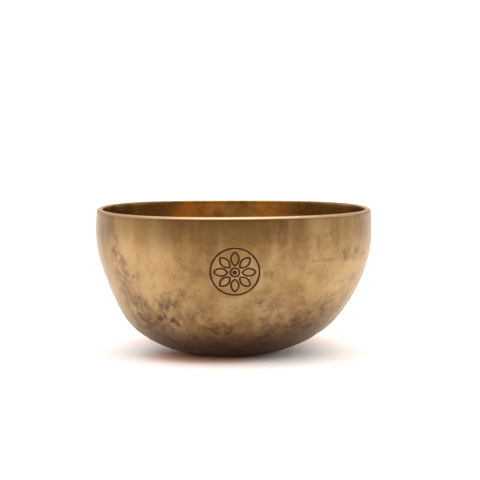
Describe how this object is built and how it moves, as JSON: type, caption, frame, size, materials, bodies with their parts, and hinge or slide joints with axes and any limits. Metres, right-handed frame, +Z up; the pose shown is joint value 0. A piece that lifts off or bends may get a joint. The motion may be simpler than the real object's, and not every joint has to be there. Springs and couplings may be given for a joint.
{
  "type": "singing bowl",
  "caption": "Hand-hammered bronze singing bowl: a round, open vessel with a rounded lip and a round engraved rosette on its front, struck or rubbed at the rim to ring.",
  "frame": {"origin": "centre of the small flat that the bowl rests on, at the bottom of its bounding box", "axes": "+Z up along the bowl's axis of revolution, -Y out of the front, where the engraved rosette is, +X to the right as seen from the front"},
  "size_m": [0.15, 0.15, 0.079],
  "materials": {
    "bronze": "hammered bronze, rubbed smooth at the lip, with a brown patina in the hollows",
    "black_lacquer": "matt blackened lacquer left in the engraved grooves"
  },
  "bodies": {
    "root": {"bowl": "bronze", "engraving_fill": "black_lacquer"}
  },
  "joints": []
}
